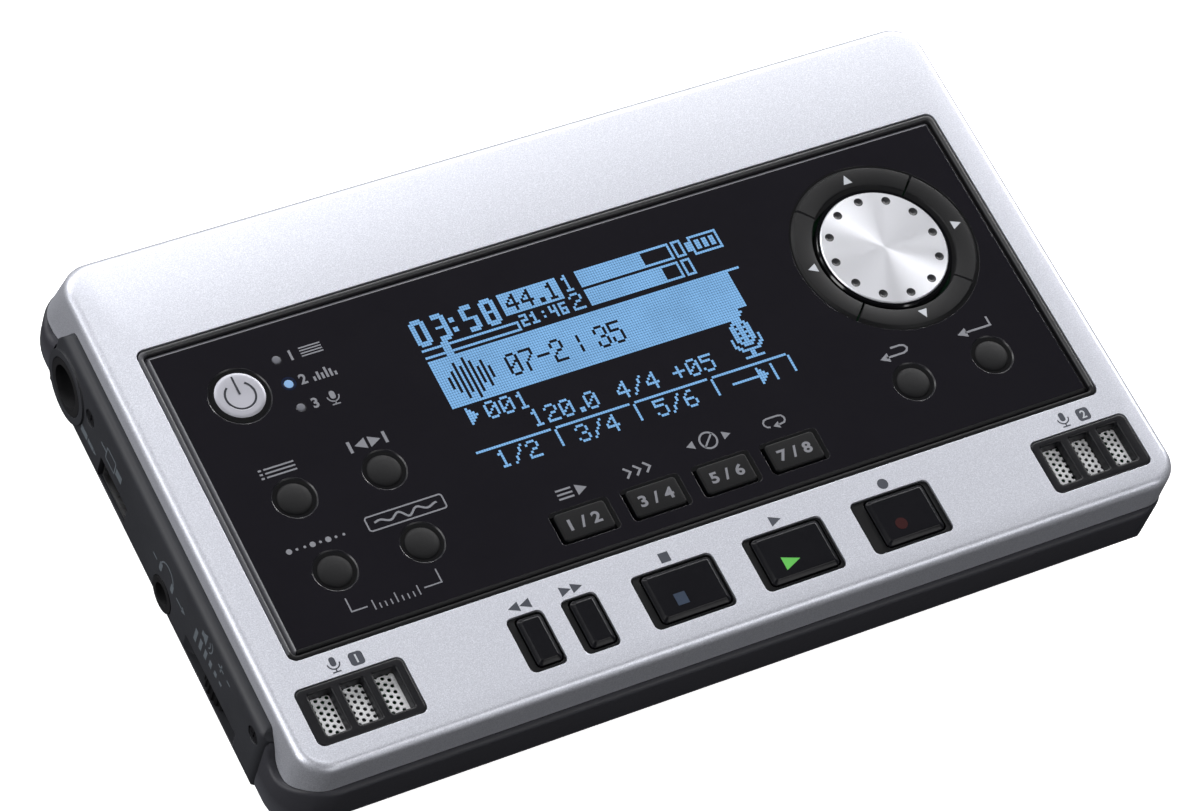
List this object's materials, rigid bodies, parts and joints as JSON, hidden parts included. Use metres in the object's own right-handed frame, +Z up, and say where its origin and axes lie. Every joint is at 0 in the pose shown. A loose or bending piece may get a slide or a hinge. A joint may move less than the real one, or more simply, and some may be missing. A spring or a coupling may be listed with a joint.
{
  "type": "digital multitrack recorder",
  "caption": "Pocket digital multitrack recorder: silver-topped black case, display window with keys and jog dial, transport keys, stereo microphones and side sockets.",
  "frame": {"origin": "middle of the recorder's outline, on the plane that its feet stand on", "axes": "+X to the player's right along the long side, +Y to the rear, +Z up out of the keys"},
  "size_m": [0.1384, 0.086, 0.022],
  "materials": {
    "silver_shell": "pearl silver lacquer with fine sparkle",
    "black_case": "fine textured black",
    "side_panel": "fine textured charcoal",
    "black_gloss": "gloss black",
    "window": "gloss black acrylic with printed labels and a clear display area",
    "lcd": "liquid crystal cell",
    "backlight": "blue diffuser",
    "tin_plate": "tinned sheet",
    "lamp": "frosted lens",
    "spun_aluminium": "spun",
    "silver_key": "satin silver",
    "key_rubber": "satin dark grey",
    "ring_key": "satin black",
    "transport_key": "gloss black with bevelled edge",
    "bezel_black": "satin black",
    "grille_metal": "perforated, satin",
    "circuit_board": "green solder mask",
    "component": "moulded",
    "shaft_steel": "turned",
    "contact_metal": "nickel plated",
    "cell_jacket": "plain sleeve",
    "card_plastic": "moulded",
    "foot_rubber": "matte",
    "screw_black": "blackened"
  },
  "bodies": {
    "chassis": {"battery_cells": "cell_jacket", "battery_contacts": "contact_metal", "bottom_case": "black_case", "card_socket": "tin_plate", "case_screws": "screw_black", "circuit_chips": "component", "dc_jack": "component", "display_bezel": "black_gloss", "display_window": "window", "encoder_body": "component", "input_jack": "component", "key_switches": "component", "lcd_backlight": "backlight", "lcd_frame": "tin_plate", "lcd_glass": "lcd", "left_side_panel": "side_panel", "left_socket_board": "circuit_board", "line_in_jack": "component", "main_board": "circuit_board", "mic_capsules": "component", "mic_frame_left": "bezel_black", "mic_frame_right": "bezel_black", "mic_grille_left": "grille_metal", "mic_grille_right": "grille_metal", "phones_jack": "component", "right_side_panel": "side_panel", "right_socket_board": "circuit_board", "rubber_feet": "foot_rubber", "side_screws": "screw_black", "status_leds": "lamp", "top_cover": "silver_shell", "transport_bezel": "bezel_black", "usb_socket": "tin_plate", "volume_pot": "component"},
    "power_button": {"power_button": "silver_key"},
    "menu_button": {"menu_button": "key_rubber"},
    "repeat_button": {"repeat_button": "key_rubber"},
    "rhythm_button": {"rhythm_button": "key_rubber"},
    "effects_button": {"effects_button": "key_rubber"},
    "exit_button": {"exit_button": "key_rubber"},
    "enter_button": {"enter_button": "key_rubber"},
    "track_button_1_2": {"track_button_1_2": "key_rubber"},
    "track_button_3_4": {"track_button_3_4": "key_rubber"},
    "track_button_5_6": {"track_button_5_6": "key_rubber"},
    "track_button_7_8": {"track_button_7_8": "key_rubber"},
    "rewind_button": {"rewind_button": "transport_key"},
    "forward_button": {"forward_button": "transport_key"},
    "stop_button": {"stop_button": "transport_key"},
    "play_button": {"play_button": "transport_key"},
    "record_button": {"record_button": "transport_key"},
    "cursor_right_key": {"cursor_right_key": "ring_key"},
    "cursor_up_key": {"cursor_up_key": "ring_key"},
    "cursor_left_key": {"cursor_left_key": "ring_key"},
    "cursor_down_key": {"cursor_down_key": "ring_key"},
    "jog_dial": {"jog_dial_cap": "spun_aluminium", "jog_dial_base": "black_gloss", "encoder_shaft": "shaft_steel"},
    "volume_wheel": {"volume_wheel": "key_rubber"},
    "battery_door": {"battery_door": "black_case"},
    "memory_card": {"memory_card": "card_plastic"}
  },
  "joints": [
    {"name": "power_press", "type": "slide", "parent": "chassis", "child": "power_button", "axis": [0, 0, -1], "range_m": [0, 0.0005], "stiffness_N_per_m": 400, "springref_m": -0.0003},
    {"name": "menu_press", "type": "slide", "parent": "chassis", "child": "menu_button", "axis": [0, 0, -1], "range_m": [0, 0.0005], "stiffness_N_per_m": 400, "springref_m": -0.0003},
    {"name": "repeat_press", "type": "slide", "parent": "chassis", "child": "repeat_button", "axis": [0, 0, -1], "range_m": [0, 0.0005], "stiffness_N_per_m": 400, "springref_m": -0.0003},
    {"name": "rhythm_press", "type": "slide", "parent": "chassis", "child": "rhythm_button", "axis": [0, 0, -1], "range_m": [0, 0.0005], "stiffness_N_per_m": 400, "springref_m": -0.0003},
    {"name": "effects_press", "type": "slide", "parent": "chassis", "child": "effects_button", "axis": [0, 0, -1], "range_m": [0, 0.0005], "stiffness_N_per_m": 400, "springref_m": -0.0003},
    {"name": "exit_press", "type": "slide", "parent": "chassis", "child": "exit_button", "axis": [0, 0, -1], "range_m": [0, 0.0005], "stiffness_N_per_m": 400, "springref_m": -0.0003},
    {"name": "enter_press", "type": "slide", "parent": "chassis", "child": "enter_button", "axis": [0, 0, -1], "range_m": [0, 0.0005], "stiffness_N_per_m": 400, "springref_m": -0.0003},
    {"name": "track_1_2_press", "type": "slide", "parent": "chassis", "child": "track_button_1_2", "axis": [0, 0, -1], "range_m": [0, 0.0005], "stiffness_N_per_m": 400, "springref_m": -0.0003},
    {"name": "track_3_4_press", "type": "slide", "parent": "chassis", "child": "track_button_3_4", "axis": [0, 0, -1], "range_m": [0, 0.0005], "stiffness_N_per_m": 400, "springref_m": -0.0003},
    {"name": "track_5_6_press", "type": "slide", "parent": "chassis", "child": "track_button_5_6", "axis": [0, 0, -1], "range_m": [0, 0.0005], "stiffness_N_per_m": 400, "springref_m": -0.0003},
    {"name": "track_7_8_press", "type": "slide", "parent": "chassis", "child": "track_button_7_8", "axis": [0, 0, -1], "range_m": [0, 0.0005], "stiffness_N_per_m": 400, "springref_m": -0.0003},
    {"name": "rewind_press", "type": "slide", "parent": "chassis", "child": "rewind_button", "axis": [0, 0, -1], "range_m": [0, 0.0005], "stiffness_N_per_m": 400, "springref_m": -0.0003},
    {"name": "forward_press", "type": "slide", "parent": "chassis", "child": "forward_button", "axis": [0, 0, -1], "range_m": [0, 0.0005], "stiffness_N_per_m": 400, "springref_m": -0.0003},
    {"name": "stop_press", "type": "slide", "parent": "chassis", "child": "stop_button", "axis": [0, 0, -1], "range_m": [0, 0.0005], "stiffness_N_per_m": 400, "springref_m": -0.0003},
    {"name": "play_press", "type": "slide", "parent": "chassis", "child": "play_button", "axis": [0, 0, -1], "range_m": [0, 0.0005], "stiffness_N_per_m": 400, "springref_m": -0.0003},
    {"name": "record_press", "type": "slide", "parent": "chassis", "child": "record_button", "axis": [0, 0, -1], "range_m": [0, 0.0005], "stiffness_N_per_m": 400, "springref_m": -0.0003},
    {"name": "cursor_right_press", "type": "slide", "parent": "chassis", "child": "cursor_right_key", "axis": [0, 0, -1], "range_m": [0, 0.0005], "stiffness_N_per_m": 400, "springref_m": -0.0003},
    {"name": "cursor_up_press", "type": "slide", "parent": "chassis", "child": "cursor_up_key", "axis": [0, 0, -1], "range_m": [0, 0.0005], "stiffness_N_per_m": 400, "springref_m": -0.0003},
    {"name": "cursor_left_press", "type": "slide", "parent": "chassis", "child": "cursor_left_key", "axis": [0, 0, -1], "range_m": [0, 0.0005], "stiffness_N_per_m": 400, "springref_m": -0.0003},
    {"name": "cursor_down_press", "type": "slide", "parent": "chassis", "child": "cursor_down_key", "axis": [0, 0, -1], "range_m": [0, 0.0005], "stiffness_N_per_m": 400, "springref_m": -0.0003},
    {"name": "jog_turn", "type": "hinge", "parent": "chassis", "child": "jog_dial", "pos_m": [0.0448, 0.00575, 0.02], "axis": [0, 0, 1], "continuous": true},
    {"name": "volume_turn", "type": "hinge", "parent": "chassis", "child": "volume_wheel", "pos_m": [-0.06335, -0.0196, 0.0072], "axis": [0, 0, 1], "range_deg": [-135, 135]},
    {"name": "battery_door_slide", "type": "slide", "parent": "chassis", "child": "battery_door", "axis": [0, -1, 0], "range_m": [0, 0.04]},
    {"name": "memory_card_slide", "type": "slide", "parent": "chassis", "child": "memory_card", "axis": [1, 0, 0], "range_m": [0, 0.028]}
  ]
}
